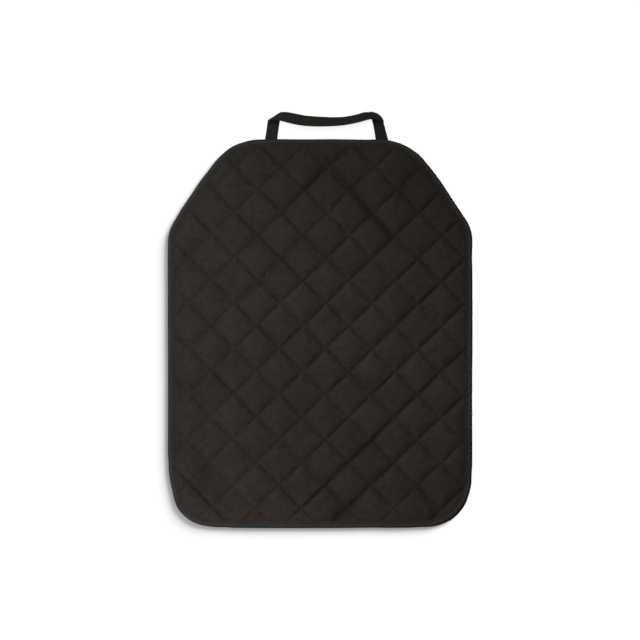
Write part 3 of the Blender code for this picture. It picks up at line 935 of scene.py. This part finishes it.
# Pairs of points in millimetres, on the strap's outer edge and on its inner edge, down the middle of its
# thickness: up the left leg, over the crossbar from left to right, and down the right leg.
leftLeg = [
    ((-84.75, 263.5, 0.5), (-66.5, 261.4, 0.5)),
    ((-83.4, 272.4, 0.5), (-65.0, 271.4, 0.5)),
    ((-82.0, 282.2, 0.5), (-63.8, 281.8, 0.5)),
    ((-80.7, 290.8, 0.5), (-62.2, 292.8, 0.5)),
    ((-79.8, 297.4, 0.5), (-60.2, 304.8, 0.5)),
    ((-79.0, 301.3, 0.5), (-58.0, 314.6, 0.5)),
]
crossbar = [
    ((-79.0, 301.3, 1.9), (-58.0, 314.7, 1.9)),
    ((-70.0, 302.0, 4.0), (-53.6, 315.1, 1.6)),
    ((-61.0, 301.2, 7.0), (-48.3, 314.8, 1.1)),
    ((-50.0, 298.1, 9.2), (-41.5, 313.6, 0.8)),
    ((-36.8, 294.9, 10.2), (-32.0, 311.7, 0.6)),
    ((-23.3, 292.9, 10.5), (-20.5, 309.6, 0.5)),
    ((-9.7, 291.9, 10.5), (-8.5, 308.6, 0.5)),
    ((3.8, 291.9, 10.4), (4.0, 307.9, 0.5)),
    ((17.3, 292.2, 10.3), (17.0, 307.3, 0.5)),
    ((30.9, 293.2, 10.2), (29.5, 307.5, 0.5)),
    ((41.6, 294.6, 10.2), (40.0, 308.4, 0.7)),
    ((57.6, 297.9, 10.0), (52.5, 310.6, 1.4)),
    ((69.5, 301.4, 9.4), (61.0, 312.9, 2.6)),
    ((82.5, 303.3, 7.8), (68.0, 314.4, 4.0)),
    ((96.2, 299.4, 5.3), (74.2, 314.2, 5.3)),
]
rightLeg = [
    ((96.2, 299.4, 0.5), (74.2, 314.2, 0.5)),
    ((98.0, 293.2, 0.5), (78.2, 304.5, 0.5)),
    ((99.6, 286.5, 0.5), (81.3, 292.0, 0.5)),
    ((101.6, 279.5, 0.5), (83.4, 279.5, 0.5)),
    ((103.5, 271.0, 0.5), (85.4, 268.0, 0.5)),
    ((104.9, 263.6, 0.5), (86.6, 259.9, 0.5)),
]


def stretch(pairs, stations):
    # The rulings of one stretch of the strap: both edges as smooth curves through the pairs.
    t = np.linspace(0, 1, stations)
    pairs = np.array(pairs) / 1000
    return np.stack([throughPoints(pairs[:, side], t) for side in (0, 1)], 1)


def rollRound(crease, fold, stations):
    # Half a turn round a fold, from the layer below to the one above: out by r sin a and up by h (1 - cos a).
    angle = np.linspace(0, np.pi, stations)[1:-1]
    height, reach = fold
    line = crease[1] - crease[0]
    outwards = unit(np.array([-line[1], line[0], 0]))
    shift = outwards * (reach * np.sin(angle))[:, None]
    shift[:, 2] = height * (1 - np.cos(angle))
    return crease + shift[:, None], outwards, np.sin(angle)


upLeft, over, downRight = map(stretch, (leftLeg, crossbar, rightLeg), strap["stations"])
leftRoll, _, _ = rollRound(upLeft[-1], strap["leftFold"], strap["foldStations"][0])
rightRoll, rightOut, bulging = rollRound(downRight[0][::-1], strap["rightFold"], strap["foldStations"][1])
rightRoll = rightRoll[::-1, ::-1]
rulings = np.concatenate([upLeft, leftRoll, over, rightRoll, downRight])
first = len(upLeft) + len(leftRoll) + len(over)
swell = np.zeros(len(rulings))
swell[first : first + len(rightRoll)] = strap["bulge"] * bulging
v = (1 - np.cos(np.pi * np.linspace(0, 1, strap["across"]))) / 2
middle = rulings[:, :1] * (1 - v)[:, None] + rulings[:, 1:] * v[:, None]
middle = middle + rightOut * (swell[:, None] * 4 * v * (1 - v))[..., None]
lengthwise, crosswise = np.gradient(middle, axis=0), np.gradient(middle, v, axis=1)
facing = unit(np.cross(crosswise, lengthwise))
rounded = np.sqrt(np.clip(1 - (2 * v - 1) ** strap["squareness"], 0, 1))
half = (strap["thickness"] * rounded + strap["edgeThickness"]) / 2
points = np.concatenate([middle + facing * half[:, None], (middle - facing * half[:, None])[:, ::-1]], 1)
along = walked(middle[:, strap["across"] // 2])
girth = np.concatenate([v, 2 - v[::-1], [2]]) * strap["width"]
faces = tubeFaces(len(points), points.shape[1], False)
uv = tubeUv(along, girth, False)
# Painted shadow on the legs under the crossbar, painted shade at the mat's edge and along the edges
shadeHeight = np.where(points[..., 0] < 0, *strap["shadeHeight"])
low = points[..., 2] < strap["shadeBelow"]
underCrossbar = low * bell(points[..., 1] - shadeHeight, strap["shadeWidth"])
tucked = strap["tuckDark"] * bell(points[..., 1] - strap["tuckHeight"], strap["tuckWidth"])
toEdge = np.minimum(girth[:-1], np.abs(2 * strap["width"] - girth[:-1]))
edgeShade = strap["edgeShadeStrength"] * bell(toEdge, strap["edgeShade"])
crease = np.maximum(np.maximum(underCrossbar, tucked), edgeShade)
loop = makePiece("webbingLoop", points, faces, makeFabric("webbing", strapLook), uv, crease)
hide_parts("hanging_strap")

print("sewing")
sewing = {
    "quiltStitch": 0.0030,  # from one stitch to the next
    "bindingStitch": 0.0036,
    "length": 0.84,  # of a stitch, as a share of the step to the next
    "radius": 0.00016,
    "bindingRadius": 0.000256,
    "sink": 0.00012,
    "lift": 0.00008,  # of a stitch's middle over the cloth
    "fromBinding": 0.0006,  # from the binding's edge to the first stitch of a row
    "bindingRow": 0.0076,  # inset of the row through the binding
    "bindingHeights": ((0.00426, 1), (0.00122, -1)),  # of its stitches, and whether they face up or down
}
thread = makeFabric("sewingThread", threadLook)
reach = quilting["reach"]
fine = sewing["quiltStitch"] / quilting["pitch"]
t = np.arange(-reach, reach, fine)
lines = np.arange(-reach, reach + 1)
first = np.stack(np.meshgrid(lines, t, indexing="ij"), -1).reshape(-1, 2)
s = np.vstack([first, first[:, ::-1]])
ahead = np.vstack([np.tile((0, fine / 2), (len(first), 1)), np.tile((fine / 2, 0), (len(first), 1))])
kept = edgeDistance(quiltPoints(s))[0] > faceRelief["bindingInset"] + sewing["fromBinding"]
s, ahead = s[kept], ahead[kept]
centres = quiltPoints(s)
heading = unit(np.column_stack([quiltPoints(s + ahead) - quiltPoints(s - ahead), np.zeros(len(s))]))
for name, height, side, slot in (
    ("quiltingStitches", faceHeight(s, centres), 1, "face_cloth"),
    ("backStitches", backHeight(s, centres), -1, "backing_cloth"),
):
    up = np.tile((0, 0, float(side)), (len(s), 1))
    size = sewing["quiltStitch"] * sewing["length"]
    places = np.column_stack([centres, height + side * sewing["lift"]])
    points, faces = stitches(places, heading, up, size, sewing["radius"], sewing["sink"])
    makePiece(name, points, faces, thread)

row, outwards, _ = outlinePath(sewing["bindingRow"], sewing["bindingStitch"])
heading = np.column_stack([-outwards[:, 1], outwards[:, 0], np.zeros(len(row))])
sets = []
for height, side in sewing["bindingHeights"]:
    centres = np.column_stack([row, np.full(len(row), height)])
    up = np.tile((0, 0, float(side)), (len(row), 1))
    size = sewing["bindingStitch"] * sewing["length"]
    sets.append(stitches(centres, heading, up, size, sewing["bindingRadius"], sewing["sink"]))
points = np.vstack([made[0] for made in sets])
faces = sets[0][1] + [[corner + len(sets[0][0]) for corner in face] for face in sets[1][1]]
makePiece("bindingStitches", points, faces, thread)

print("camera and light")
view = {"lens": 85, "sensor": 36, "frameWidth": 0.9684}
camera = bpy.data.objects.new("camera", bpy.data.cameras.new("camera"))
camera.data.lens, camera.data.sensor_width = view["lens"], view["sensor"]
camera.location = (0, 0, crownHeight / 2 + view["frameWidth"] * view["lens"] / view["sensor"])
bpy.context.scene.collection.objects.link(camera)
bpy.context.scene.camera = camera
bpy.context.scene.view_settings.view_transform = "Standard"

lighting = {
    "keyPlace": (-1.10, 1.25, 1.15),  # low from the upper left, for the relief
    "keyAim": (0.28, -0.19, 0.0),
    "keySize": (0.3, 0.3),
    "keySpread": 19,  # its beam leaves out the left side of the mat
    "keyPower": 0.42,
    "fillPlace": (-0.43, -0.06, 0.46),  # above the left side, and longer than the mat
    "fillAim": (-0.18, -0.06, 0.0),
    "fillSize": (1.35, 0.2),
    "fillSpread": 80,
    "fillPower": 1.45,
    "fillColour": (0.86, 0.95, 1.0),
    "footPlace": (-0.12, -0.34, 0.5),  # above the left and the middle of the bottom edge
    "footAim": (-0.12, -0.33, 0.0),
    "footSize": (0.5, 0.1),
    "footSpread": 40,
    "footPower": 0.068,
    "worldLight": 0.435,
    "floorReach": 4.0,
    "floorLevel": -0.0001,
    "floorSeen": 0.65,  # the floor's colour to the camera, and the one that lights the mat
    "floorBounce": 0.4,
    "lowSun": 14.0,  # of the floor's two suns
    "lowSunSpread": 40,
    "lowSunPlace": (0.57, 0.55, 0.170),
    "highSun": 0.8,
    "highSunSpread": 110,
    "highSunPlace": (0.1, 0.12, 1.0),
}


def addLamp(name, kind, place, aim=(0, 0, 0)):
    lamp = bpy.data.objects.new(name, bpy.data.lights.new(name, kind))
    lamp.location = place
    lamp.rotation_euler = (Vector(aim) - Vector(place)).to_track_quat("-Z", "Y").to_euler()
    bpy.context.scene.collection.objects.link(lamp)
    return lamp


matOnly = bpy.data.collections.new("matOnly")  # the loop throws no shadow from the floor's suns
litPieces = bpy.data.collections.new("litPieces")
for name in madePieces:
    litPieces.objects.link(bpy.data.objects[name])
    if name != "webbingLoop":
        matOnly.objects.link(bpy.data.objects[name])
for name in ("key", "fill", "foot"):
    lamp = addLamp(name + "Lamp", "AREA", lighting[name + "Place"], lighting[name + "Aim"])
    lamp.data.shape, lamp.data.energy = "ELLIPSE", lighting[name + "Power"]
    lamp.data.size, lamp.data.size_y = lighting[name + "Size"]
    lamp.data.spread = np.radians(lighting[name + "Spread"])
    lamp.data.color = lighting.get(name + "Colour", (1, 1, 1))
    lamp.light_linking.receiver_collection = litPieces


def seenDirectly(tree):  # 1 for what the camera, a mirror or glass shows, 0 for the light on the mat
    light = addNode(tree, "LightPath").outputs
    shiny = calculate(tree, "MAXIMUM", light["Is Glossy Ray"], light["Is Transmission Ray"])
    return calculate(tree, "MAXIMUM", light["Is Camera Ray"], shiny)


reach, level = lighting["floorReach"], lighting["floorLevel"]
floorMesh = bpy.data.meshes.new("floor")
corners = [(x * reach, y * reach, level) for x, y in ((-1, -1), (1, -1), (1, 1), (-1, 1))]
floorMesh.from_pydata(corners, [], [(0, 1, 2, 3)])
floor = bpy.data.objects.new("floor", floorMesh)
bpy.context.scene.collection.objects.link(floor)
paleFloor = bpy.data.materials.new("paleFloor")
paleFloor.use_nodes = True
tree = paleFloor.node_tree
shader = tree.nodes["Principled BSDF"]
tone = spread(tree, seenDirectly(tree), 0, 1, lighting["floorBounce"], lighting["floorSeen"])
tree.links.new(tone, shader.inputs["Base Color"])
shader.inputs["Roughness"].default_value = 1
shader.inputs["Specular IOR Level"].default_value = 0
floorMesh.materials.append(paleFloor)

floorOnly = bpy.data.collections.new("floorOnly")
floorOnly.objects.link(floor)
for name in ("lowSun", "highSun"):
    sun = addLamp(name, "SUN", lighting[name + "Place"])
    sun.data.energy, sun.data.angle = lighting[name], np.radians(lighting[name + "Spread"])
    sun.light_linking.receiver_collection = floorOnly
    sun.light_linking.blocker_collection = matOnly

world = bpy.data.worlds.new("studio")
bpy.context.scene.world = world
world.use_nodes = True
tree = world.node_tree
tree.nodes["Background"].inputs["Color"].default_value = (1, 1, 1, 1)
strength = spread(tree, seenDirectly(tree), 0, 1, lighting["worldLight"])
tree.links.new(strength, tree.nodes["Background"].inputs["Strength"])
